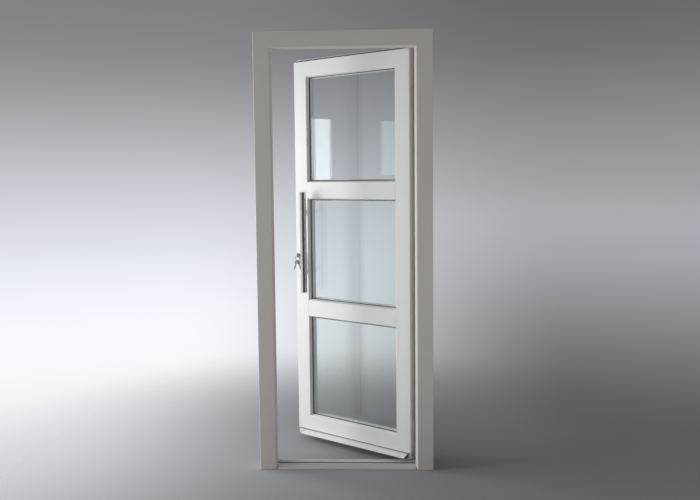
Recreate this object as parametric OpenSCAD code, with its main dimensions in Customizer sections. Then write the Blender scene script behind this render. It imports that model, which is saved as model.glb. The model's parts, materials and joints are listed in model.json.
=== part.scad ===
// A glazed white PVC entrance door in its frame: mitred frame members, an inward-opening leaf of three
// glazed panes, a low aluminium threshold, a weather bar and an offset pull bar.
// The outside faces -Y, the inside +Y. The origin is on the floor, in the middle of the frame.

/* [Door] */
// Width over the frame
frame_width = 800; // [740:1:1100]
// Height over the frame, from the floor
frame_height = 2000; // [1920:1:2300]
// Angle at which the leaf stands open at rest, in degrees
open_angle = 31; // [0:0.5:88]

/* [Frame profile] */
// Depth of the frame profile
frame_depth = 70; // [64:1:82]
// Width of the flat outside face of a frame member
frame_face = 72; // [62:1:90]
// Sideways run of the sloping edge beside the leaf
frame_bevel = 9; // [5:0.5:12]
// Depth of the outside upstand that laps over the leaf
upstand_depth = 16; // [12:0.5:22]
// Width of the leaf's edge that the upstand covers
outer_lap = 7; // [5:0.5:9]
// Gap between the leaf's edge and the bottom of the rebate
rebate_gap = 12; // [10:0.5:15]
// Gap between the faces of the closed leaf and the frame
running_gap = 5; // [4:0.25:6]

/* [Leaf profile] */
// Width of the flat outside face of a leaf member
leaf_face = 74; // [64:1:90]
// Height of the leaf's lower edge above the floor
leaf_lift = 56; // [50:1:70]
// Reach of the inside flange past the leaf's edge
flange_reach = 20; // [17:0.5:24]
// Thickness of the inside flange
flange_thickness = 16; // [12:0.5:22]
// Sideways run of the sloping edge round a pane
leaf_bevel = 6; // [3:0.5:9]
// Depth of the lip in front of the glass
lip_depth = 17; // [12:0.5:20]
// Reach of the lip past the bottom of the glazing rebate
lip_reach = 20; // [17:0.5:24]
// Width of the flat outside face of a transom
transom_face = 81; // [64:1:100]
// Height of the lower transom's middle above the floor
lower_transom_height = 688; // [520:1:860]
// Height of the upper transom's middle above the floor
upper_transom_height = 1286; // [1100:1:1480]

/* [Glazing] */
// Thickness of one sheet of glass
glass_thickness = 4; // [3:0.5:6]
// Width of the cavity between the sheets
cavity_width = 16; // [10:0.5:17]
// Thickness of the gaskets on both sides of the glass
gasket_thickness = 3; // [2:0.25:4]
// Gap between the glass and the bottom of its rebate
glazing_gap = 6; // [4:0.5:8]
// Height of the spacer, with its sealant, from the edge of the glass
spacer_height = 20; // [17:0.5:22]
// Width of gasket that shows past the lip
gasket_show = 2.5; // [1.5:0.5:6]
// Width of the glazing bead
bead_width = 21; // [18:0.5:24]

/* [Threshold] */
// Height of the threshold
threshold_height = 20; // [18:0.5:22]
// Depth of its sloping front
threshold_slope = 18; // [14:0.5:20]
// Height of its front edge
threshold_nose = 5; // [3:0.5:8]

/* [Weather bar] */
// How far the weather bar stands out from the leaf
weather_reach = 32; // [24:1:40]
// Height of its top above the floor
weather_top = 51; // [47:0.5:53]
// Height of its lower edge above the floor
weather_foot = 39; // [36:0.5:41]
// Distance from the leaf's lock edge to the bar
weather_inset_lock = 34; // [26:1:60]
// Distance from the leaf's hinge edge to the bar
weather_inset_hinge = 15; // [14:1:60]
// Wall thickness of the weather bar
weather_wall = 3; // [2:0.25:4]
// How far the profile that carries the bar is set back from the leaf's face
carrier_setback = 5; // [3:0.5:8]

/* [Pull bar] */
// Length of the bar
pull_length = 500; // [360:5:800]
// Diameter of the bar
pull_diameter = 32; // [25:0.5:38]
// Height of the bar's middle above the floor
pull_height = 1027; // [980:1:1060]
// How far the bar's middle stands out from the leaf
pull_stand = 50; // [45:1:60]
// Distance from the leaf's lock edge to the bar's middle
pull_inset = 82; // [78:1:90]
// Distance from the leaf's lock edge to the foot of a support
support_inset = 37; // [33:1:42]
// Diameter of a support
support_diameter = 20; // [14:0.5:24]
// Distance between the two supports
support_spacing = 300; // [200:5:340]

/* [Lock] */
// Distance from the leaf's lock edge to the middle of the cylinder
backset = 33; // [31:0.5:37]
// Height of the cylinder above the floor
cylinder_height = 958; // [940:1:980]
// Distance from the cylinder up to the latch
latch_rise = 92; // [72:1:92]
// Diameter of the cylinder's round part
cylinder_diameter = 17; // [16:0.5:18]
// Width of the cylinder's flat part
cylinder_web = 10; // [9:0.5:11]
// Height of the whole cylinder
cylinder_depth = 33; // [30:0.5:34]
// Thickness of the escutcheon on either side
escutcheon_thickness = 9; // [6:0.5:12]
// Width of an escutcheon
escutcheon_width = 30; // [28:0.5:34]
// Height of an escutcheon
escutcheon_height = 66; // [60:1:80]
// Length of the thumb lever inside, which turns the cylinder
lever_length = 34; // [28:0.5:40]
// Thickness of the thumb lever
lever_width = 9; // [7:0.5:12]
// How far the thumb lever stands out from the cylinder
lever_stand = 20; // [16:0.5:26]
// Distance from the leaf's corners to the ends of the lock's faceplate
faceplate_inset = 85; // [60:5:160]
// Distance from the leaf's corners to the outer bolts
side_bolt_inset = 300; // [260:5:420]
// Distance from the cylinder down to the deadbolt
bolt_drop = 30; // [26:1:40]
// Width of the lock's faceplate
faceplate_width = 16; // [14:0.5:20]
// Thickness of the lock's faceplate
faceplate_thickness = 3; // [2:0.25:3.5]

/* [Keys] */
// Diameter of a key's bow
bow_diameter = 23; // [20:0.5:26]
// Thickness of a key
key_thickness = 2.4; // [2:0.1:3]
// Length of a key's blade past the bow
blade_length = 34; // [28:1:38]
// Width of a key's blade
blade_width = 8; // [7:0.5:9]
// Depth of the notches in a blade
notch_depth = 2; // [1.5:0.1:2.5]
// Diameter of the hole in a bow
bow_hole = 6; // [5:0.25:7]
// Diameter of the key ring, at the middle of its wire
ring_diameter = 24; // [20:0.5:28]
// Thickness of the ring's wire, away from the middle of the ring
ring_wire = 1.6; // [1.2:0.1:2]
// Width of the ring over both of its turns
ring_width = 2.4; // [2:0.1:2.6]

/* [Hinges] */
// Length of a hinge over both knuckles
hinge_length = 100; // [80:1:130]
// Diameter of a hinge knuckle
knuckle_diameter = 18; // [15:0.5:20]
// Diameter of a hinge pin
pin_diameter = 10; // [8:0.5:11]
// Distance from the leaf's corner to the middle of the nearest hinge
hinge_inset = 210; // [160:1:320]

/* [Hidden] */

// A cutter runs this far past what it cuts
past = 1;
// Small chamfer on the corners of the PVC profiles
edge = 1.5;

// Frame
frame_half = frame_width / 2;
frame_front = -frame_depth / 2;
frame_back = frame_depth / 2;
upstand_back = frame_front + upstand_depth;
upstand_width = frame_face + frame_bevel;
leaf_half = frame_half - upstand_width + outer_lap;
leaf_top = frame_height - upstand_width + outer_lap;
rebate_half = leaf_half + rebate_gap;
rebate_width = frame_half - rebate_half;
seal_gap = 0.5;
seal_foot = 3;
seal_width = 5;
seal_reach = running_gap - seal_gap;

// Leaf
leaf_front = upstand_back + running_gap;
flange_front = frame_depth - upstand_depth;
leaf_depth = flange_front + flange_thickness;
flange_half = leaf_half + flange_reach;
flange_top = leaf_top + flange_reach;
flange_foot = leaf_lift - flange_reach;
face_edge = flange_reach + leaf_face;
sight_edge = face_edge + leaf_bevel;
rebate_edge = sight_edge - lip_reach;
glass_edge = rebate_edge + glazing_gap;
transom_sight = transom_face / 2 + leaf_bevel;
transom_core = transom_sight - lip_reach;
transom_seam = 1.2;

// Groove for the lock and its keeps, round the leaf's edge
groove_middle = 34;
groove_step = faceplate_thickness;
groove_core_width = 12;
groove_core_depth = 8;

// Glazing, by depth behind the leaf's outside face
glass_front = lip_depth + gasket_thickness;
cavity_front = glass_front + glass_thickness;
inner_glass_front = cavity_front + cavity_width;
glazing_back = inner_glass_front + glass_thickness;
bead_front = glazing_back + gasket_thickness;
bead_slope = 9;
bead_flat = 8;
gasket_width = 9;

// Threshold
break_front = -8;
break_back = 4;
break_drop = 4;
threshold_end_gap = 0.3;
tread_grooves = 5;
tread_groove = 1.6;
tread_pitch = (frame_back - break_back) / (tread_grooves + 1);

// Seal carrier and brushes under the leaf
carrier_foot = threshold_height + running_gap + 1;
carrier_wall = 3;
carrier_front = leaf_front + carrier_setback;
carrier_back = leaf_front + flange_front - running_gap - 1;
brush_width = 4;
brush_channel = 6;
brush_inset = 10;
brush_middles = [carrier_front + brush_inset, carrier_back - brush_inset];

// Hinges
knuckle_radius = knuckle_diameter / 2;
hinge_x = flange_half + running_gap + knuckle_radius;
hinge_y = frame_back + running_gap + knuckle_radius;
knuckle_gap = 0.5;
pin_clearance = 0.05;
pin_end_gap = 1;
hinge_plate = 3.5;
hinge_plate_width = 26;
hinge_plate_gap = 2;
cap_height = 4;
hinge_low = leaf_lift + hinge_inset;
hinge_high = leaf_top - hinge_inset;
hinge_mid = (hinge_low + hinge_high) / 2;

// Lock
lock_x = -leaf_half + backset;
cylinder_front = escutcheon_thickness + 3;
cylinder_back = leaf_depth + escutcheon_thickness + 1;
cylinder_clearance = 0.2;
faceplate_middle = (leaf_lift + leaf_top) / 2;
faceplate_length = leaf_top - leaf_lift - 2 * faceplate_inset;
latch_height = cylinder_height + latch_rise;
bolt_height = cylinder_height - bolt_drop;
side_bolt_heights = [leaf_lift + side_bolt_inset, leaf_top - side_bolt_inset];
strike_thickness = 2;
strike_width = 24;
strike_length = 240;
side_strike_length = 120;
bolt_width = 10;
bolt_length = 32;
bolt_depth = 8;
screw_diameter = 7;
screw_head = 0.8;
screw_inset = 10;

module colour_pvc() { color([0.93, 0.93, 0.92]) children(); }
module colour_rubber() { color([0.08, 0.08, 0.08]) children(); }
module colour_steel() { color([0.62, 0.61, 0.59]) children(); }
module colour_aluminium() { color([0.70, 0.68, 0.66]) children(); }
module colour_glass() { color([0.62, 0.72, 0.72, 0.4]) children(); }

// Turns what belongs to the leaf about the hinge pins, from the closed place to the place at rest
module on_leaf() {
    translate([hinge_x, hinge_y, 0])
        rotate([0, 0, -open_angle])
            translate([-hinge_x, -hinge_y, 0])
                children();
}

// A profile member. Its section lies in the plane of inward distance and depth, and runs up Z.
// An end is mitred where its flag is 1 and square where it is 0.
module member(length, reach, depth, low, high) {
    intersection() {
        linear_extrude(length) children();
        translate([0, depth + past, 0])
            rotate([90, 0, 0])
                linear_extrude(depth + 2 * past)
                    polygon([
                        [-past, -past],
                        [-past, length + past],
                        [reach, length + past - (reach + past) * high],
                        [reach, -past + (reach + past) * low]
                    ]);
    }
}

// Places for the members of a frame whose outer edge is at half_width
module left_side(half_width, front, foot) {
    translate([-half_width, front, foot]) children();
}
module right_side(half_width, front, foot) {
    mirror([1, 0, 0]) left_side(half_width, front, foot) children();
}
module top_side(half_width, front, top) {
    translate([-half_width, front, top]) rotate([0, 90, 0]) children();
}
module bottom_side(half_width, front, foot) {
    translate([half_width, front, foot]) rotate([0, -90, 0]) children();
}

// Extrudes a section drawn in Y and Z along X
module along_x(start, finish) {
    translate([start, 0, 0]) rotate([90, 0, 90]) linear_extrude(finish - start) children();
}

// A flat rectangular ring in the plane of the leaf, between two depths
module flat_ring(outer_half, outer_foot, outer_top, inner, front, back) {
    difference() {
        translate([-outer_half, front, outer_foot])
            cube([2 * outer_half, back - front, outer_top - outer_foot]);
        translate([-outer_half + inner, front - past, outer_foot + inner])
            cube([2 * (outer_half - inner), back - front + 2 * past, outer_top - outer_foot - 2 * inner]);
    }
}

// Frame

module frame_section() {
    seal_middle = upstand_width - outer_lap / 2;
    polygon([
        [0, edge],
        [edge, 0],
        [frame_face - edge, 0],
        [frame_face + edge / 2, edge],
        [upstand_width, upstand_depth - edge],
        [upstand_width - edge / 2, upstand_depth],
        [seal_middle + seal_foot / 2, upstand_depth],
        [seal_middle + seal_foot / 2, upstand_depth - seal_foot],
        [seal_middle - seal_foot / 2, upstand_depth - seal_foot],
        [seal_middle - seal_foot / 2, upstand_depth],
        [rebate_width, upstand_depth],
        [rebate_width, frame_depth - edge],
        [rebate_width - edge, frame_depth],
        [edge, frame_depth],
        [0, frame_depth - edge]
    ]);
}

module frame_member(length, low, high) {
    member(length, upstand_width + past, frame_depth, low, high) frame_section();
}

module strike_pocket(middle, length) {
    translate([-rebate_half - strike_thickness, leaf_front + groove_middle - strike_width / 2,
               middle - length / 2])
        cube([strike_thickness + past, strike_width, length]);
}

module lock_jamb() {
    colour_pvc()
        difference() {
            left_side(frame_half, frame_front, 0) frame_member(frame_height, 0, 1);
            strike_pocket(latch_height - strike_length / 4, strike_length);
            for (height = side_bolt_heights) strike_pocket(height, side_strike_length);
        }
}

module hinge_jamb() {
    colour_pvc() right_side(frame_half, frame_front, 0) frame_member(frame_height, 0, 1);
}

module frame_head() {
    colour_pvc() top_side(frame_half, frame_front, frame_height) frame_member(frame_width, 1, 1);
}

module frame_seal() {
    seal_half = frame_half - upstand_width + outer_lap / 2;
    seal_top = frame_height - upstand_width + outer_lap / 2;
    foot = threshold_height + threshold_end_gap;
    colour_rubber()
        for (part = [[seal_foot, -seal_foot, 0], [seal_width, 0, seal_reach]])
            difference() {
                translate([-seal_half - part[0] / 2, upstand_back + part[1], foot])
                    cube([2 * seal_half + part[0], part[2] - part[1], seal_top + part[0] / 2 - foot]);
                translate([-seal_half + part[0] / 2, upstand_back + part[1] - past, foot - past])
                    cube([2 * seal_half - part[0], part[2] - part[1] + 2 * past,
                          seal_top - part[0] / 2 - foot + past]);
            }
}

// A low screw head that faces -X, with its middle on the plane it lies on
module screw() {
    rotate([0, -90, 0])
        cylinder(h = screw_head, d1 = screw_diameter, d2 = screw_diameter - 2 * screw_head, $fn = 20);
}

// A keep let into the rebate, with a slot for each bolt
module strike(middle, length, slots) {
    colour_steel() {
        difference() {
            translate([-rebate_half - strike_thickness, leaf_front + groove_middle - strike_width / 2,
                       middle - length / 2])
                cube([strike_thickness, strike_width, length]);
            for (height = slots)
                translate([-rebate_half - strike_thickness - past,
                           leaf_front + groove_middle - bolt_width / 2 - past,
                           height - bolt_length / 2 - past])
                    cube([strike_thickness + 2 * past, bolt_width + 2 * past, bolt_length + 2 * past]);
        }
        for (end = [-1, 1])
            translate([-rebate_half, leaf_front + groove_middle, middle + end * (length / 2 - screw_inset)])
                mirror([1, 0, 0]) screw();
    }
}

module strike_main() { strike(latch_height - strike_length / 4, strike_length, [latch_height, bolt_height]); }
module strike_upper() { strike(side_bolt_heights[1], side_strike_length, [side_bolt_heights[1]]); }
module strike_lower() { strike(side_bolt_heights[0], side_strike_length, [side_bolt_heights[0]]); }

// Threshold

module threshold_front() {
    slope_back = frame_front + threshold_slope;
    opening_half = frame_half - upstand_width;
    end_half = rebate_half - threshold_end_gap;
    colour_aluminium()
        difference() {
            along_x(-end_half, end_half)
                polygon([
                    [frame_front, 0],
                    [frame_front, threshold_nose - 1],
                    [frame_front + 1, threshold_nose],
                    [slope_back, threshold_height - 0.5],
                    [slope_back + 1, threshold_height],
                    [break_front - 3, threshold_height],
                    [break_front - 3, threshold_height - break_drop],
                    [break_front, threshold_height - break_drop],
                    [break_front, 0]
                ]);
            for (side = [-1, 1])
                translate([side * (opening_half - threshold_end_gap + rebate_half / 2), 0, 0])
                    translate([-rebate_half / 2, frame_front - past, -past])
                        cube([rebate_half, upstand_depth + threshold_end_gap + past,
                              threshold_height + 2 * past]);
        }
}

module threshold_break() {
    color([0.13, 0.13, 0.13])
        along_x(-rebate_half + threshold_end_gap, rebate_half - threshold_end_gap)
            polygon([
                [break_front, 0],
                [break_front, threshold_height - 2 * break_drop],
                [break_front + 2, threshold_height - break_drop],
                [break_back - 2, threshold_height - break_drop],
                [break_back, threshold_height - 2 * break_drop],
                [break_back, 0]
            ]);
}

module threshold_rear() {
    colour_aluminium()
        along_x(-rebate_half + threshold_end_gap, rebate_half - threshold_end_gap)
            difference() {
                polygon([
                    [break_back, 0],
                    [break_back, threshold_height],
                    [frame_back - 1, threshold_height],
                    [frame_back, threshold_height - 1],
                    [frame_back, 0]
                ]);
                for (groove = [1 : tread_grooves])
                    translate([break_back + groove * tread_pitch, threshold_height])
                        rotate(45) square(tread_groove, center = true);
            }
}

// Hinges

// The lower knuckle, its pin and the plate screwed to the frame
module hinge_frame(middle) {
    low = middle - hinge_length / 2;
    half = hinge_length / 2 - knuckle_gap / 2;
    pin_top = hinge_length - cap_height - pin_end_gap;
    plate_x = hinge_x + knuckle_radius + hinge_plate_gap;
    colour_steel() {
        translate([hinge_x, hinge_y, low]) cylinder(h = half, d = knuckle_diameter, $fn = 48);
        translate([hinge_x, hinge_y, low + half - past])
            cylinder(h = pin_top - half + past, d = pin_diameter, $fn = 48);
        translate([plate_x, frame_back, low]) cube([hinge_plate_width, hinge_plate, hinge_length]);
        translate([hinge_x, frame_back, low])
            cube([knuckle_radius + hinge_plate_gap + 1, hinge_plate, half]);
        translate([hinge_x, frame_back, low])
            cube([knuckle_radius, knuckle_radius + running_gap, half]);
    }
}

// The upper knuckle and the plate screwed to the leaf's flange
module hinge_leaf(middle) {
    low = middle + knuckle_gap / 2;
    half = hinge_length / 2 - knuckle_gap / 2;
    plate_edge = flange_half - 2;
    back = leaf_front + leaf_depth;
    colour_steel()
        on_leaf()
            difference() {
                union() {
                    translate([hinge_x, hinge_y, low]) cylinder(h = half, d = knuckle_diameter, $fn = 48);
                    translate([plate_edge - hinge_plate_width, back, middle - hinge_length / 2])
                        cube([hinge_plate_width, hinge_plate, hinge_length]);
                    translate([plate_edge - 1, back, low])
                        cube([hinge_x - plate_edge + 1, hinge_plate, half]);
                    translate([hinge_x - knuckle_radius, hinge_y, low])
                        cube([knuckle_radius, back - hinge_y + past, half]);
                }
                translate([hinge_x, hinge_y, low - past])
                    cylinder(h = half - cap_height + past, d = pin_diameter + 2 * pin_clearance, $fn = 48);
            }
}

// Leaf profiles

module groove_outline(side) {
    for (step = [[faceplate_width, groove_step], [groove_core_width, groove_core_depth]])
        translate([side - past, groove_middle - step[0] / 2]) square([step[1] + past, step[0]]);
}

module leaf_section() {
    seal_middle = flange_reach / 2 - 2;
    difference() {
        polygon([
            [0, flange_front + edge],
            [edge, flange_front],
            [seal_middle - seal_foot / 2, flange_front],
            [seal_middle - seal_foot / 2, flange_front + seal_foot],
            [seal_middle + seal_foot / 2, flange_front + seal_foot],
            [seal_middle + seal_foot / 2, flange_front],
            [flange_reach, flange_front],
            [flange_reach, edge],
            [flange_reach + edge, 0],
            [face_edge - edge, 0],
            [face_edge + edge / 2, edge],
            [sight_edge, lip_depth - edge],
            [sight_edge, lip_depth],
            [rebate_edge, lip_depth],
            [rebate_edge, leaf_depth],
            [edge, leaf_depth],
            [0, leaf_depth - edge]
        ]);
        groove_outline(flange_reach);
    }
}

module leaf_member(length) {
    member(length, sight_edge + past, leaf_depth, 1, 1) leaf_section();
}

// The outline of a profile cylinder, round above and narrow below
module cylinder_outline(grow) {
    circle(d = cylinder_diameter + 2 * grow, $fn = 48);
    translate([-cylinder_web / 2 - grow, -cylinder_depth + cylinder_diameter / 2 - grow])
        square([cylinder_web + 2 * grow, cylinder_depth - cylinder_diameter / 2 + grow]);
}

// Extrudes an outline drawn in X and Z from one depth to another, measured behind the leaf's outside face
module through_leaf(front, back) {
    translate([0, leaf_front + back, 0]) rotate([90, 0, 0]) linear_extrude(back - front) children();
}

module lock_stile() {
    colour_pvc()
        on_leaf()
            difference() {
                left_side(flange_half, leaf_front, flange_foot) leaf_member(flange_top - flange_foot);
                through_leaf(-past, leaf_depth + past)
                    translate([lock_x, cylinder_height]) cylinder_outline(cylinder_clearance);
            }
}

module hinge_stile() {
    colour_pvc()
        on_leaf() right_side(flange_half, leaf_front, flange_foot) leaf_member(flange_top - flange_foot);
}

module top_rail() {
    colour_pvc() on_leaf() top_side(flange_half, leaf_front, flange_top) leaf_member(2 * flange_half);
}

module bottom_rail() {
    colour_pvc() on_leaf() bottom_side(flange_half, leaf_front, flange_foot) leaf_member(2 * flange_half);
}

// A transom, cut at both ends to the slope of the stiles, with a narrow seam at the face
module transom(middle) {
    end_half = flange_half - rebate_edge;
    face_half = flange_half - face_edge;
    sight_half = flange_half - sight_edge;
    colour_pvc()
        on_leaf()
            difference() {
                along_x(-end_half, end_half)
                    translate([leaf_front, middle])
                        polygon([
                            [0, edge - transom_face / 2],
                            [0, transom_face / 2 - edge],
                            [edge, transom_face / 2 + edge / 2],
                            [lip_depth - edge, transom_sight],
                            [lip_depth, transom_sight],
                            [lip_depth, transom_core],
                            [leaf_depth, transom_core],
                            [leaf_depth, -transom_core],
                            [lip_depth, -transom_core],
                            [lip_depth, -transom_sight],
                            [lip_depth - edge, -transom_sight],
                            [edge, -transom_face / 2 - edge / 2]
                        ]);
                for (side = [0, 1])
                    mirror([side, 0, 0])
                        translate([0, leaf_front, middle - transom_sight - past])
                            linear_extrude(2 * (transom_sight + past))
                                polygon([
                                    [end_half + past, -past],
                                    [face_half - edge - transom_seam, -past],
                                    [face_half + edge - transom_seam, 0],
                                    [face_half - edge / 2 - transom_seam, edge],
                                    [sight_half, lip_depth - edge],
                                    [sight_half, lip_depth],
                                    [end_half + past, lip_depth]
                                ]);
            }
}

module upper_transom() { transom(upper_transom_height); }
module lower_transom() { transom(lower_transom_height); }

// Panes. Each is given by the heights of the bottom and the top of its glazing rebate.

pane_half = flange_half - rebate_edge;
pane_bottom = [flange_foot + rebate_edge, lower_transom_height - transom_core];
pane_middle = [lower_transom_height + transom_core, upper_transom_height - transom_core];
pane_top = [upper_transom_height + transom_core, flange_top - rebate_edge];

module glass_sheet(pane, front) {
    colour_glass()
        on_leaf()
            translate([-pane_half + glazing_gap, leaf_front + front, pane[0] + glazing_gap])
                cube([2 * (pane_half - glazing_gap), glass_thickness, pane[1] - pane[0] - 2 * glazing_gap]);
}

module spacer(pane) {
    color([0.52, 0.52, 0.52])
        on_leaf()
            flat_ring(pane_half - glazing_gap, pane[0] + glazing_gap, pane[1] - glazing_gap, spacer_height,
                      leaf_front + cavity_front, leaf_front + inner_glass_front);
}

// The gasket outside the glass and the one inside it
module glazing_gasket(pane) {
    outer = lip_reach + gasket_show - gasket_width;
    colour_rubber()
        on_leaf()
            for (front = [lip_depth, glazing_back])
                flat_ring(pane_half - outer, pane[0] + outer, pane[1] - outer, gasket_width,
                          leaf_front + front, leaf_front + front + gasket_thickness);
}

module bead_section() {
    polygon([
        [0, bead_front],
        [bead_width, bead_front],
        [bead_width, bead_front + bead_flat],
        [bead_width - bead_slope, leaf_depth],
        [0, leaf_depth]
    ]);
}

module bead_member(length) {
    member(length, bead_width + past, leaf_depth, 1, 1) bead_section();
}

module bead(pane) {
    height = pane[1] - pane[0];
    colour_pvc()
        on_leaf() {
            left_side(pane_half, leaf_front, pane[0]) bead_member(height);
            right_side(pane_half, leaf_front, pane[0]) bead_member(height);
            top_side(pane_half, leaf_front, pane[1]) bead_member(2 * pane_half);
            bottom_side(pane_half, leaf_front, pane[0]) bead_member(2 * pane_half);
        }
}

module leaf_seal() {
    middle = flange_reach / 2 - 2;
    colour_rubber()
        on_leaf()
            for (part = [[seal_foot, 0, seal_foot], [seal_width, -seal_reach, 0]])
                flat_ring(flange_half - middle + part[0] / 2, flange_foot + middle - part[0] / 2,
                          flange_top - middle + part[0] / 2, part[0],
                          leaf_front + flange_front + part[1], leaf_front + flange_front + part[2]);
}

// The profile under the leaf that carries the brushes and the weather bar
module seal_carrier() {
    color([0.88, 0.88, 0.87])
        on_leaf()
            along_x(-leaf_half, leaf_half)
                difference() {
                    translate([carrier_front, carrier_foot])
                        square([carrier_back - carrier_front, leaf_lift - carrier_foot]);
                    for (middle = brush_middles)
                        translate([middle - brush_channel / 2, carrier_foot - past])
                            square([brush_channel, carrier_wall + past]);
                    translate([carrier_front + carrier_wall, carrier_foot + 2 * carrier_wall])
                        square([carrier_back - carrier_front - 2 * carrier_wall,
                                leaf_lift - carrier_foot - 3 * carrier_wall]);
                }
}

module brush_seal() {
    foot = threshold_height + seal_gap;
    color([0.2, 0.2, 0.2])
        on_leaf()
            for (middle = brush_middles)
                translate([-leaf_half, middle - brush_width / 2, foot])
                    cube([2 * leaf_half, brush_width, carrier_foot + carrier_wall - foot]);
}

// Weather bar

weather_nose = 5;
weather_drop = 4.5;
weather_back = 18;

module weather_outline() {
    polygon([
        [carrier_setback, weather_top],
        [-weather_reach + weather_nose, weather_top - weather_drop],
        [-weather_reach + 1, weather_top - weather_drop - 2],
        [-weather_reach, weather_top - weather_drop - weather_nose],
        [-weather_reach, weather_foot],
        [-weather_reach + weather_wall, weather_foot],
        [-weather_reach + weather_wall, weather_top - weather_drop - weather_nose],
        [-weather_reach + weather_nose, weather_top - weather_drop - weather_wall],
        [carrier_setback - weather_wall, weather_top - weather_wall],
        [carrier_setback - weather_wall, weather_top - weather_back],
        [carrier_setback, weather_top - weather_back]
    ]);
}

weather_start = -leaf_half + weather_inset_lock;
weather_finish = leaf_half - weather_inset_hinge;
weather_cap = 2.5;

module weather_bar() {
    color([0.94, 0.94, 0.93])
        on_leaf()
            translate([0, leaf_front, 0])
                along_x(weather_start + weather_cap, weather_finish - weather_cap) weather_outline();
}

module weather_end(start) {
    color([0.2, 0.2, 0.21])
        on_leaf()
            translate([0, leaf_front, 0])
                along_x(start, start + weather_cap)
                    polygon([
                        [carrier_setback, weather_top],
                        [-weather_reach + weather_nose, weather_top - weather_drop],
                        [-weather_reach + 1, weather_top - weather_drop - 2],
                        [-weather_reach, weather_top - weather_drop - weather_nose],
                        [-weather_reach, weather_foot],
                        [carrier_setback, weather_top - weather_back]
                    ]);
}

module weather_cap_lock() { weather_end(weather_start); }
module weather_cap_hinge() { weather_end(weather_finish - weather_cap); }

// Pull bar

pull_x = -leaf_half + pull_inset;
pull_y = leaf_front - pull_stand;
support_x = -leaf_half + support_inset;
cap_length = 4;
cap_groove = 1;

module pull_cylinder() {
    translate([pull_x, pull_y, pull_height - pull_length / 2])
        cylinder(h = pull_length, d = pull_diameter, $fn = 64);
}

// The bar, with a fine groove where each end cap meets the tube
module pull_bar() {
    colour_steel()
        on_leaf()
            difference() {
                pull_cylinder();
                for (end = [-1, 1])
                    translate([pull_x, pull_y, pull_height + end * (pull_length / 2 - cap_length)])
                        rotate_extrude($fn = 64)
                            translate([pull_diameter / 2, 0]) rotate(45) square(cap_groove, center = true);
            }
}

// A support leans from the middle of the stile out to the bar, which stands in front of the glass
module pull_support(side) {
    run = pull_x - support_x;
    reach = norm([run, pull_stand]);
    colour_steel()
        on_leaf()
            difference() {
                translate([support_x, leaf_front, pull_height + side * support_spacing / 2])
                    rotate([0, 0, atan2(-pull_stand, run)])
                        translate([-support_diameter, 0, 0])
                            rotate([0, 90, 0])
                                cylinder(h = reach + support_diameter, d = support_diameter, $fn = 48);
                translate([support_x - 3 * support_diameter, leaf_front, 0])
                    cube([6 * support_diameter, 3 * support_diameter, frame_height]);
                pull_cylinder();
            }
}

module pull_support_upper() { pull_support(1); }
module pull_support_lower() { pull_support(-1); }

// Lock furniture

module rounded_plate(width, height) {
    for (side = [-1, 1]) translate([0, side * (height - width) / 2]) circle(d = width, $fn = 64);
    square([width, height - width], center = true);
}

module escutcheon_outline() {
    difference() {
        translate([0, -cylinder_depth / 4]) rounded_plate(escutcheon_width, escutcheon_height);
        cylinder_outline(cylinder_clearance);
    }
}

module cylinder_escutcheon() {
    colour_steel()
        on_leaf()
            through_leaf(-escutcheon_thickness, 0) translate([lock_x, cylinder_height]) escutcheon_outline();
}

module lock_cylinder() {
    color([0.72, 0.70, 0.66])
        on_leaf()
            through_leaf(-cylinder_front, cylinder_back)
                translate([lock_x, cylinder_height]) cylinder_outline(0);
}

module interior_plate() {
    colour_steel()
        on_leaf()
            through_leaf(leaf_depth, leaf_depth + escutcheon_thickness)
                translate([lock_x, cylinder_height]) escutcheon_outline();
}

// The thumb lever on the inner end of the cylinder, a short neck with a rounded grip
module interior_lever() {
    neck = 5;
    colour_steel()
        on_leaf() {
            through_leaf(cylinder_back, cylinder_back + neck)
                translate([lock_x, cylinder_height]) circle(d = cylinder_diameter - 1, $fn = 48);
            through_leaf(cylinder_back + neck, cylinder_back + lever_stand)
                translate([lock_x, cylinder_height]) rounded_plate(lever_width, lever_length);
        }
}

// Keys

// A flat key standing in the plane of Y and Z. Its bow's hole is at the origin and its blade runs down.
module key_shape() {
    bow_drop = bow_diameter / 2 - bow_hole / 2 - 2;
    blade_tip = 1 - bow_drop - bow_diameter / 2 - blade_length;
    notch_count = 5;
    rotate([0, -90, 0])
        translate([0, 0, -key_thickness / 2])
            linear_extrude(key_thickness)
                difference() {
                    union() {
                        translate([-bow_drop, 0]) circle(d = bow_diameter, $fn = 48);
                        translate([blade_tip, -blade_width / 2]) square([blade_length, blade_width]);
                    }
                    circle(d = bow_hole, $fn = 32);
                    for (notch = [1 : notch_count])
                        translate([blade_tip + notch * blade_length / (notch_count + 2), blade_width / 2])
                            rotate(45) square(notch_depth * sqrt(2), center = true);
                    for (side = [-1, 1])
                        translate([blade_tip, side * blade_width / 2])
                            rotate(45) square(notch_depth * sqrt(2), center = true);
                }
}

ring_stand = 36;
ring_y = leaf_front - ring_stand;
ring_touch = 0.1;
ring_middle = cylinder_height - bow_hole / 2 + ring_wire / 2 + ring_touch - ring_diameter / 2;

module door_key() {
    bow_back = ring_stand + bow_hole / 2 + 2 - bow_diameter;
    blade_reach = bow_back - cylinder_front + 1;
    colour_steel()
        on_leaf()
            translate([lock_x, leaf_front, cylinder_height]) {
                difference() {
                    translate([-key_thickness / 2, -bow_back - bow_diameter / 2, 0])
                        rotate([0, 90, 0]) cylinder(h = key_thickness, d = bow_diameter, $fn = 48);
                    translate([-past - key_thickness / 2, -ring_stand, 0])
                        rotate([0, 90, 0]) cylinder(h = key_thickness + 2 * past, d = bow_hole, $fn = 32);
                }
                translate([-key_thickness / 2, -cylinder_front - blade_reach, -blade_width / 2])
                    cube([key_thickness, blade_reach, blade_width]);
            }
}

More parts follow.
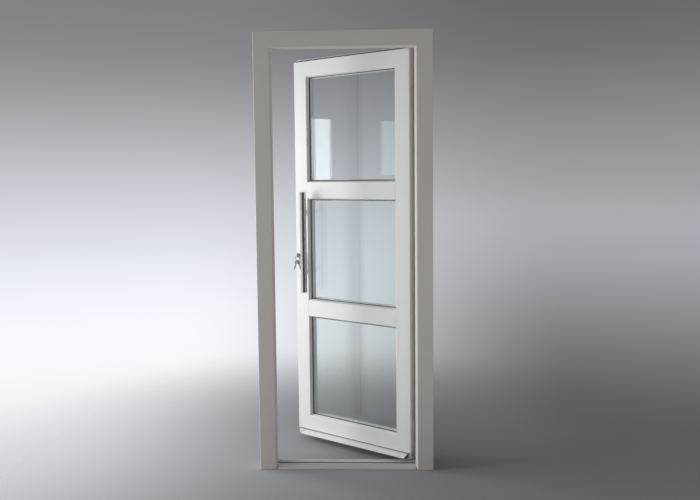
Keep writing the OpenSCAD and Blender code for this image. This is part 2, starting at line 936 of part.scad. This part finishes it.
// A split ring: two turns of flat wire, which meet in a shallow groove
module key_ring() {
    corner = ring_wire / 3;
    colour_steel()
        on_leaf()
            translate([lock_x, ring_y, ring_middle])
                rotate([90, 0, 0])
                    rotate_extrude($fn = 64)
                        translate([ring_diameter / 2, 0])
                            polygon([
                                [-ring_wire / 2, corner - ring_width / 2],
                                [corner - ring_wire / 2, -ring_width / 2],
                                [ring_wire / 2 - corner, -ring_width / 2],
                                [ring_wire / 2, corner - ring_width / 2],
                                [ring_wire / 2, -corner / 2],
                                [ring_wire / 2 - corner / 2, 0],
                                [ring_wire / 2, corner / 2],
                                [ring_wire / 2, ring_width / 2 - corner],
                                [ring_wire / 2 - corner, ring_width / 2],
                                [corner - ring_wire / 2, ring_width / 2],
                                [-ring_wire / 2, ring_width / 2 - corner]
                            ]);
}

// A key hangs from the ring by the upper edge of the hole in its bow
module spare_key(turn) {
    hang = ring_diameter / 2 - ring_wire / 2 - ring_touch + bow_hole / 2;
    colour_steel()
        on_leaf()
            translate([lock_x, ring_y, ring_middle])
                rotate([0, turn, 0])
                    translate([0, 0, -hang]) key_shape();
}

spare_turn = 20;

module spare_key_left() { spare_key(spare_turn); }
module spare_key_right() { spare_key(-spare_turn); }

// Lock in the leaf's edge

module edge_box(front_gap, depth, middle, width, length) {
    translate([-leaf_half - front_gap, leaf_front + groove_middle - width / 2, middle - length / 2])
        cube([front_gap + depth, width, length]);
}

module lock_faceplate() {
    colour_steel()
        on_leaf() {
            difference() {
                edge_box(0, faceplate_thickness, faceplate_middle, faceplate_width, faceplate_length);
                for (height = concat([latch_height, bolt_height], side_bolt_heights))
                    edge_box(past, faceplate_thickness + past, height, bolt_width, bolt_length);
            }
            for (height = concat([latch_height, bolt_height], side_bolt_heights))
                for (side = [-1, 1])
                    translate([-leaf_half, leaf_front + groove_middle,
                               height + side * (bolt_length + screw_inset)])
                        screw();
            for (end = [-1, 1])
                translate([-leaf_half, leaf_front + groove_middle,
                           faceplate_middle + end * (faceplate_length / 2 - screw_inset)])
                    screw();
        }
}

module latch_bolt() {
    colour_steel() on_leaf() edge_box(2.5, bolt_depth, latch_height, bolt_width, bolt_length);
}

module side_bolts() {
    colour_steel()
        on_leaf()
            for (height = concat([bolt_height], side_bolt_heights))
                edge_box(0.5, bolt_depth, height, bolt_width, bolt_length);
}

lock_jamb();
hinge_jamb();
frame_head();
threshold_front();
threshold_break();
threshold_rear();
frame_seal();
strike_main();
strike_upper();
strike_lower();
hinge_frame(hinge_high);  // hinge_frame_top
hinge_frame(hinge_mid);  // hinge_frame_middle
hinge_frame(hinge_low);  // hinge_frame_bottom
lock_stile();
hinge_stile();
top_rail();
bottom_rail();
upper_transom();
lower_transom();
glass_sheet(pane_top, glass_front);  // glass_top_outer
glass_sheet(pane_middle, glass_front);  // glass_middle_outer
glass_sheet(pane_bottom, glass_front);  // glass_bottom_outer
glass_sheet(pane_top, inner_glass_front);  // glass_top_inner
glass_sheet(pane_middle, inner_glass_front);  // glass_middle_inner
glass_sheet(pane_bottom, inner_glass_front);  // glass_bottom_inner
spacer(pane_top);  // spacer_top
spacer(pane_middle);  // spacer_middle
spacer(pane_bottom);  // spacer_bottom
glazing_gasket(pane_top);  // gasket_top
glazing_gasket(pane_middle);  // gasket_middle
glazing_gasket(pane_bottom);  // gasket_bottom
bead(pane_top);  // bead_top
bead(pane_middle);  // bead_middle
bead(pane_bottom);  // bead_bottom
leaf_seal();
seal_carrier();
brush_seal();
weather_bar();
weather_cap_lock();
weather_cap_hinge();
pull_bar();
pull_support_upper();
pull_support_lower();
cylinder_escutcheon();
lock_cylinder();
door_key();
key_ring();
spare_key_left();
spare_key_right();
interior_plate();
interior_lever();
lock_faceplate();
latch_bolt();
side_bolts();
hinge_leaf(hinge_high);  // hinge_leaf_top
hinge_leaf(hinge_mid);  // hinge_leaf_middle
hinge_leaf(hinge_low);  // hinge_leaf_bottom
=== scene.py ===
import json
import math

import bpy
from mathutils import Matrix, Vector


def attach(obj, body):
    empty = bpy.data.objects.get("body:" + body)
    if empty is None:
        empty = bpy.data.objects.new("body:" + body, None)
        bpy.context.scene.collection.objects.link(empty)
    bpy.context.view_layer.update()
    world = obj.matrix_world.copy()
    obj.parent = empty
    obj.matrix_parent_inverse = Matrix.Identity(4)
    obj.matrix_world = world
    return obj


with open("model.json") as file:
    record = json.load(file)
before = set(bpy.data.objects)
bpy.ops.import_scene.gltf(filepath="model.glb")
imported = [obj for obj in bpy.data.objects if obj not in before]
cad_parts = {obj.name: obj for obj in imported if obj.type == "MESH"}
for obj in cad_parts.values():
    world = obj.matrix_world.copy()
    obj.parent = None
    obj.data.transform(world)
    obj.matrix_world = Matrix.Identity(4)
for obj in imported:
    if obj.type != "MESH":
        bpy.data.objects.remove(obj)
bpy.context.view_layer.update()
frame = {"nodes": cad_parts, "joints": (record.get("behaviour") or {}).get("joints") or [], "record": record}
nodes = frame["nodes"]
swing = frame["joints"][0]


# ---- Materials ----


class Shader:
    """A Principled material and short ways to feed it."""

    def __init__(self, name, colour, roughness, metallic=0.0, **sockets):
        self.material = bpy.data.materials.new(name)
        self.material.use_nodes = True
        self.tree = self.material.node_tree
        self.bsdf = self.tree.nodes["Principled BSDF"]
        self.bsdf.inputs["Base Color"].default_value = (*colour, 1)
        self.bsdf.inputs["Roughness"].default_value = roughness
        self.bsdf.inputs["Metallic"].default_value = metallic
        for key, value in sockets.items():
            self.bsdf.inputs[key.replace("_", " ")].default_value = value

    def node(self, kind, **settings):
        made = self.tree.nodes.new(kind)
        for key, value in settings.items():
            setattr(made, key, value)
        return made

    def link(self, source, target):
        self.tree.links.new(source, target)

    def noise(self, scale, detail=3.0, stretch=(1, 1, 1), rough=0.5):
        """Noise over the object's own coordinates, stretched along an axis."""
        place = self.node("ShaderNodeTexCoord")
        mapping = self.node("ShaderNodeMapping")
        mapping.inputs["Scale"].default_value = stretch
        self.link(place.outputs["Object"], mapping.inputs["Vector"])
        noise = self.node("ShaderNodeTexNoise")
        noise.inputs["Scale"].default_value = scale
        noise.inputs["Detail"].default_value = detail
        noise.inputs["Roughness"].default_value = rough
        self.link(mapping.outputs["Vector"], noise.inputs["Vector"])
        return noise.outputs["Fac"]

    def vary_colour(self, factor, low, high):
        """Colour runs from low to high as factor goes from 0.3 to 0.7."""
        ramp = self.node("ShaderNodeValToRGB")
        ramp.color_ramp.elements[0].position = 0.3
        ramp.color_ramp.elements[0].color = (*low, 1)
        ramp.color_ramp.elements[1].position = 0.7
        ramp.color_ramp.elements[1].color = (*high, 1)
        self.link(factor, ramp.inputs["Fac"])
        self.link(ramp.outputs["Color"], self.bsdf.inputs["Base Color"])

    def vary_roughness(self, factor, low, high):
        span = self.node("ShaderNodeMapRange")
        span.inputs["From Min"].default_value = 0.3
        span.inputs["From Max"].default_value = 0.7
        span.inputs["To Min"].default_value = low
        span.inputs["To Max"].default_value = high
        self.link(factor, span.inputs["Value"])
        self.link(span.outputs["Result"], self.bsdf.inputs["Roughness"])

    def bump(self, factor, distance, strength=1.0):
        bump = self.node("ShaderNodeBump")
        bump.inputs["Strength"].default_value = strength
        bump.inputs["Distance"].default_value = distance
        self.link(factor, bump.inputs["Height"])
        self.link(bump.outputs["Normal"], self.bsdf.inputs["Normal"])


def shade(colour, by):
    return tuple(channel * by for channel in colour)


def pvc(name, colour, roughness=0.3):
    made = Shader(name, colour, roughness)
    cloud = made.noise(2.2, detail=2.0)
    made.vary_colour(cloud, shade(colour, 0.99), shade(colour, 1.0))
    made.vary_roughness(made.noise(9, detail=1.0), roughness * 0.98, roughness * 1.02)
    return made.material


def brushed(name, colour, roughness, stretch, scale=260, metallic=1.0):
    """Metal with fine lines along the axis that stretch leaves short."""
    made = Shader(name, colour, roughness, metallic)
    lines = made.noise(scale, detail=4.0, stretch=stretch, rough=0.65)
    made.vary_colour(lines, shade(colour, 0.86), shade(colour, 1.05))
    made.vary_roughness(lines, roughness * 0.8, roughness * 1.2)
    made.bump(lines, 0.00004, 0.35)
    return made.material


def rubber(name, colour, roughness=0.62):
    made = Shader(name, colour, roughness)
    made.vary_roughness(made.noise(120, detail=3.0), roughness * 0.85, min(1, roughness * 1.15))
    return made.material


def pane_glass(name, tint):
    """Clear glass that lets the lamps through without a dark shadow."""
    made = Shader(name, tint, 0.0, **{"IOR": 1.5, "Transmission_Weight": 1.0})
    clear = made.node("ShaderNodeBsdfTransparent")
    clear.inputs["Color"].default_value = (*tint, 1)
    path = made.node("ShaderNodeLightPath")
    either = made.node("ShaderNodeMath", operation="MAXIMUM")
    made.link(path.outputs["Is Shadow Ray"], either.inputs[0])
    made.link(path.outputs["Is Diffuse Ray"], either.inputs[1])
    mix = made.node("ShaderNodeMixShader")
    made.link(either.outputs[0], mix.inputs[0])
    made.link(made.bsdf.outputs[0], mix.inputs[1])
    made.link(clear.outputs[0], mix.inputs[2])
    output = next(n for n in made.tree.nodes if n.type == "OUTPUT_MATERIAL")
    made.link(mix.outputs[0], output.inputs["Surface"])
    return made.material


# Painted shade: the frame's white is darker and warmer than the leaf's, though both are the same white PVC
SHADED_FRAME_WHITE = (0.70, 0.665, 0.635)
LEAF_WHITE = (0.86, 0.865, 0.86)

MATERIALS = {
    "frame_pvc": pvc("frame_pvc", SHADED_FRAME_WHITE, 0.34),
    "leaf_pvc": pvc("leaf_pvc", LEAF_WHITE, 0.28),
    "bead_pvc": pvc("bead_pvc", LEAF_WHITE, 0.28),
    "weather_pvc": pvc("weather_pvc", (0.86, 0.86, 0.865), 0.3),
    "glass": pane_glass("glass", (0.955, 0.985, 0.982)),
    "spacer": brushed("spacer", (0.90, 0.90, 0.89), 0.5, (1, 1, 1), 60, 0.0),
    "seal_rubber": rubber("seal_rubber", (0.018, 0.018, 0.019)),
    "brush": rubber("brush", (0.09, 0.09, 0.09), 0.9),
    "cap_plastic": rubber("cap_plastic", (0.075, 0.078, 0.085), 0.5),
    "threshold_aluminium": brushed("threshold_aluminium", (0.90, 0.89, 0.88), 0.42, (0.02, 1, 1), metallic=0.5),
    "break_plastic": rubber("break_plastic", (0.03, 0.03, 0.03), 0.55),
    "pull_steel": brushed("pull_steel", (0.74, 0.72, 0.68), 0.22, (1, 1, 0.012), 300),
    "key_nickel": brushed("key_nickel", (0.50, 0.48, 0.44), 0.2, (1, 1, 1), 200),
    "ring_steel": brushed("ring_steel", (0.34, 0.33, 0.32), 0.2, (1, 1, 1), 200),
    "hinge_steel": pvc("hinge_steel", (0.78, 0.78, 0.77), 0.36),
    "furniture_aluminium": pvc("furniture_aluminium", (0.80, 0.80, 0.79), 0.36),
    "lock_steel": brushed("lock_steel", (0.60, 0.60, 0.59), 0.34, (1, 1, 0.02)),
}

slots = {row["node"]: row["material_slot"] for row in frame["record"]["subparts"]}
for name, obj in nodes.items():
    obj.data.materials.clear()
    obj.data.materials.append(MATERIALS[slots[name]])


# ---- Details ----


def turned_with_leaf(obj):
    """Carries what was built on the closed leaf to the leaf's place at rest."""
    pin = Vector(swing["pos_m"])
    pin.z = 0
    turn = Matrix.Rotation(math.radians(swing["range_deg"][0]), 4, "Z")
    obj.matrix_world = Matrix.Translation(pin) @ turn @ Matrix.Translation(-pin) @ obj.matrix_world
    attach(obj, "leaf")


def box(name, low, high, material):
    """A plain box between two corners, in the coordinates of the closed door."""
    mesh = bpy.data.meshes.new(name)
    corners = [(x, y, z) for x in (low[0], high[0]) for y in (low[1], high[1]) for z in (low[2], high[2])]
    faces = [(0, 1, 3, 2), (4, 6, 7, 5), (0, 4, 5, 1), (2, 3, 7, 6), (0, 2, 6, 4), (1, 5, 7, 3)]
    mesh.from_pydata(corners, [], faces)
    mesh.materials.append(material)
    made = bpy.data.objects.new(name, mesh)
    bpy.context.scene.collection.objects.link(made)
    return made


# A grey strip fills the groove between the leaf's face and the weather bar: painted shade standing in for the
# shadow in that groove
weather_groove_shade = rubber("weather_groove_shade", (0.17, 0.17, 0.175))
turned_with_leaf(box("weather_groove_shade", (-0.324, -0.0108, 0.0513), (0.324, -0.009, 0.0558), weather_groove_shade))


# ---- Stage ----


def ray_share(tree, names):
    """A value that is 1 for rays of these kinds and 0 for others."""
    path = tree.nodes.new("ShaderNodeLightPath")
    value = path.outputs[names[0]]
    for name in names[1:]:
        larger = tree.nodes.new("ShaderNodeMath")
        larger.operation = "MAXIMUM"
        tree.links.new(value, larger.inputs[0])
        tree.links.new(path.outputs[name], larger.inputs[1])
        value = larger.outputs[0]
    return value


def span(tree, value, low, high):
    """Runs smoothly from 0 to 1 as the value goes from low to high."""
    made = tree.nodes.new("ShaderNodeMapRange")
    made.interpolation_type = "SMOOTHSTEP"
    made.inputs["From Min"].default_value = low
    made.inputs["From Max"].default_value = high
    tree.links.new(value, made.inputs["Value"])
    return made.outputs["Result"]


def ramp(tree, value, stops):
    """Colours along a value from 0 to 1."""
    made = tree.nodes.new("ShaderNodeValToRGB")
    made.color_ramp.interpolation = "B_SPLINE"
    while len(made.color_ramp.elements) < len(stops):
        made.color_ramp.elements.new(0.5)
    for element, (position, colour) in zip(made.color_ramp.elements, stops):
        element.position = position
        element.color = (*colour, 1)
    tree.links.new(value, made.inputs["Fac"])
    return made.outputs["Color"]


def make_world():
    """A plain light for the object, and a soft studio for what the camera sees, brighter on the left: painted
    light on the left and painted shade on the right.
    """
    world = bpy.data.worlds.new("studio")
    bpy.context.scene.world = world
    world.use_nodes = True
    tree = world.node_tree
    tree.nodes.clear()
    place = tree.nodes.new("ShaderNodeTexCoord")
    split = tree.nodes.new("ShaderNodeSeparateXYZ")
    tree.links.new(place.outputs["Generated"], split.inputs[0])
    height = tree.nodes.new("ShaderNodeMapRange")
    height.inputs["From Min"].default_value, height.inputs["From Max"].default_value = -0.45, 0.45
    tree.links.new(split.outputs["Z"], height.inputs["Value"])
    height = height.outputs["Result"]
    # Painted light: a bright band low on the left side of the studio
    left = ramp(tree, height, [(0.0, (0.42, 0.43, 0.46)), (0.12, (0.70, 0.72, 0.76)), (0.20, (0.96, 0.98, 1.0)),
                               (0.30, (0.92, 0.95, 1.0)), (0.40, (0.76, 0.79, 0.85)), (0.55, (0.48, 0.48, 0.51)),
                               (0.70, (0.22, 0.21, 0.23)), (1.0, (0.18, 0.17, 0.18))])
    # Painted shade: the right side of the studio stays mostly dark
    right = ramp(tree, height, [(0.0, (0.15, 0.15, 0.16)), (0.12, (0.09, 0.09, 0.09)), (0.20, (0.14, 0.14, 0.14)),
                                (0.30, (0.27, 0.27, 0.29)), (0.40, (0.42, 0.43, 0.46)), (0.48, (0.40, 0.41, 0.43)),
                                (0.70, (0.13, 0.12, 0.12)), (1.0, (0.11, 0.10, 0.11))])
    blend = tree.nodes.new("ShaderNodeMix")
    blend.data_type = "RGBA"
    tree.links.new(span(tree, split.outputs["X"], -0.3, 0.3), blend.inputs["Factor"])
    tree.links.new(left, blend.inputs[6])
    tree.links.new(right, blend.inputs[7])
    seen = tree.nodes.new("ShaderNodeBackground")
    tree.links.new(blend.outputs[2], seen.inputs["Color"])
    light = tree.nodes.new("ShaderNodeBackground")
    light.inputs["Color"].default_value = (1.0, 0.975, 0.95, 1)
    light.inputs["Strength"].default_value = 0.22
    mix = tree.nodes.new("ShaderNodeMixShader")
    tree.links.new(ray_share(tree, ["Is Camera Ray", "Is Glossy Ray", "Is Transmission Ray"]), mix.inputs[0])
    tree.links.new(light.outputs[0], mix.inputs[1])
    tree.links.new(seen.outputs[0], mix.inputs[2])
    output = tree.nodes.new("ShaderNodeOutputWorld")
    tree.links.new(mix.outputs[0], output.inputs["Surface"])


def make_floor(radius=9.0):
    """A pale round floor, painted lighter towards the key lamp as a pool of light and darker away from it as
    shade, that fades into the studio towards its edge.
    """
    bpy.ops.mesh.primitive_circle_add(vertices=128, radius=radius, fill_type="NGON", location=(0, 0, -0.0005))
    floor = bpy.context.object
    floor.name = "floor"
    made = Shader("floor", (0.50, 0.51, 0.54), 0.75)
    place = made.node("ShaderNodeTexCoord")
    length = made.node("ShaderNodeVectorMath", operation="LENGTH")
    made.link(place.outputs["Object"], length.inputs[0])
    # Painted light and shade: the floor's colour is lighter near the key lamp's side and darker away from it
    painted_light_spot = made.node("ShaderNodeVectorMath", operation="DISTANCE")
    painted_light_spot.inputs[1].default_value = (-2.3, 0.65, 0)
    made.link(place.outputs["Object"], painted_light_spot.inputs[0])
    painted_light_shades = [(0.0, (0.62, 0.63, 0.66)), (0.5, (0.47, 0.48, 0.51)), (1.0, (0.30, 0.30, 0.32))]
    colour = ramp(made.tree, span(made.tree, painted_light_spot.outputs["Value"], 0.3, 2.9), painted_light_shades)
    made.link(colour, made.bsdf.inputs["Base Color"])
    clear = made.node("ShaderNodeBsdfTransparent")
    mix = made.node("ShaderNodeMixShader")
    made.link(span(made.tree, length.outputs["Value"], 0.5, 2.3), mix.inputs[0])
    made.link(made.bsdf.outputs[0], mix.inputs[1])
    made.link(clear.outputs[0], mix.inputs[2])
    output = next(n for n in made.tree.nodes if n.type == "OUTPUT_MATERIAL")
    made.link(mix.outputs[0], output.inputs["Surface"])
    floor.data.materials.append(made.material)


def area_lamp(name, place, aim, size, watts, colour, spread_deg=180):
    data = bpy.data.lights.new(name, "AREA")
    data.shape = "RECTANGLE"
    data.spread = math.radians(spread_deg)
    data.size, data.size_y = size
    data.energy = watts
    data.color = colour
    lamp = bpy.data.objects.new(name, data)
    bpy.context.scene.collection.objects.link(lamp)
    lamp.location = place
    lamp.rotation_euler = (Vector(aim) - Vector(place)).to_track_quat("-Z", "Y").to_euler()
    lamp.visible_camera = lamp.visible_glossy = lamp.visible_transmission = False


def gloss_card(name, corners, colour, strength):
    """A flat card that only gloss and glass see, as they see the windows and walls of a room."""
    mesh = bpy.data.meshes.new(name)
    mesh.from_pydata(corners, [], [(0, 1, 2, 3)])
    card = bpy.data.objects.new(name, mesh)
    bpy.context.scene.collection.objects.link(card)
    material = bpy.data.materials.new(name)
    material.use_nodes = True
    tree = material.node_tree
    tree.nodes.clear()
    glow = tree.nodes.new("ShaderNodeEmission")
    glow.inputs["Color"].default_value = (*colour, 1)
    glow.inputs["Strength"].default_value = strength
    output = tree.nodes.new("ShaderNodeOutputMaterial")
    tree.links.new(glow.outputs[0], output.inputs["Surface"])
    mesh.materials.append(material)
    card.visible_camera = card.visible_diffuse = card.visible_shadow = False
    return card


def side_card(name, low, high, colour, strength, side=-3.2):
    corners = [(side, low[0], low[1]), (side, high[0], low[1]), (side, high[0], high[1]), (side, low[0], high[1])]
    return gloss_card(name, corners, colour, strength)


make_world()
make_floor()
area_lamp("key", (-2.3, 0.15, 1.15), (0.0, 0.15, 0.75), (1.9, 2.0), 41, (0.97, 0.99, 1.0), 130)
area_lamp("bounce", (0.9, -2.2, 0.03), (0.5, -1.05, 1.0), (2.4, 1.6), 9, (1.0, 0.98, 0.96), 130)
side_card("window_near", (-1.16, 1.335), (-0.62, 1.94), (0.93, 0.98, 1.0), 3.3)
side_card("window_far", (-2.15, 1.375), (-1.75, 1.94), (0.80, 0.93, 1.0), 1.4)
room = gloss_card("room", [(-2.0, -3.7, -0.4), (3.2, -3.7, -0.4), (3.2, -3.7, 2.8), (-2.0, -3.7, 2.8)],
                  (1.0, 0.97, 0.93), 0.05)
room.visible_transmission = False


# ---- Camera ----


def make_camera():
    focal_px, width_px, height_px = 660.13, 700, 500
    middle_px = 222.0
    yaw, pitch, roll = (math.radians(angle) for angle in (1.7792, -3.7712, -0.5774))
    ahead = Vector((-math.sin(yaw) * math.cos(pitch), math.cos(yaw) * math.cos(pitch), math.sin(pitch)))
    level = Vector((math.cos(yaw), math.sin(yaw), 0))
    upright = level.cross(ahead)
    right = math.cos(roll) * level + math.sin(roll) * upright
    up = -math.sin(roll) * level + math.cos(roll) * upright
    data = bpy.data.cameras.new("camera")
    data.sensor_width = 36
    data.lens = focal_px * data.sensor_width / width_px
    data.shift_y = (middle_px - height_px / 2) / width_px
    camera = bpy.data.objects.new("camera", data)
    bpy.context.scene.collection.objects.link(camera)
    turn = Matrix((right, up, -ahead)).transposed().to_4x4()
    camera.matrix_world = Matrix.Translation((0.1189, -3.0022, 1.3429)) @ turn
    bpy.context.scene.camera = camera


make_camera()
bpy.context.scene.view_settings.view_transform = "Standard"
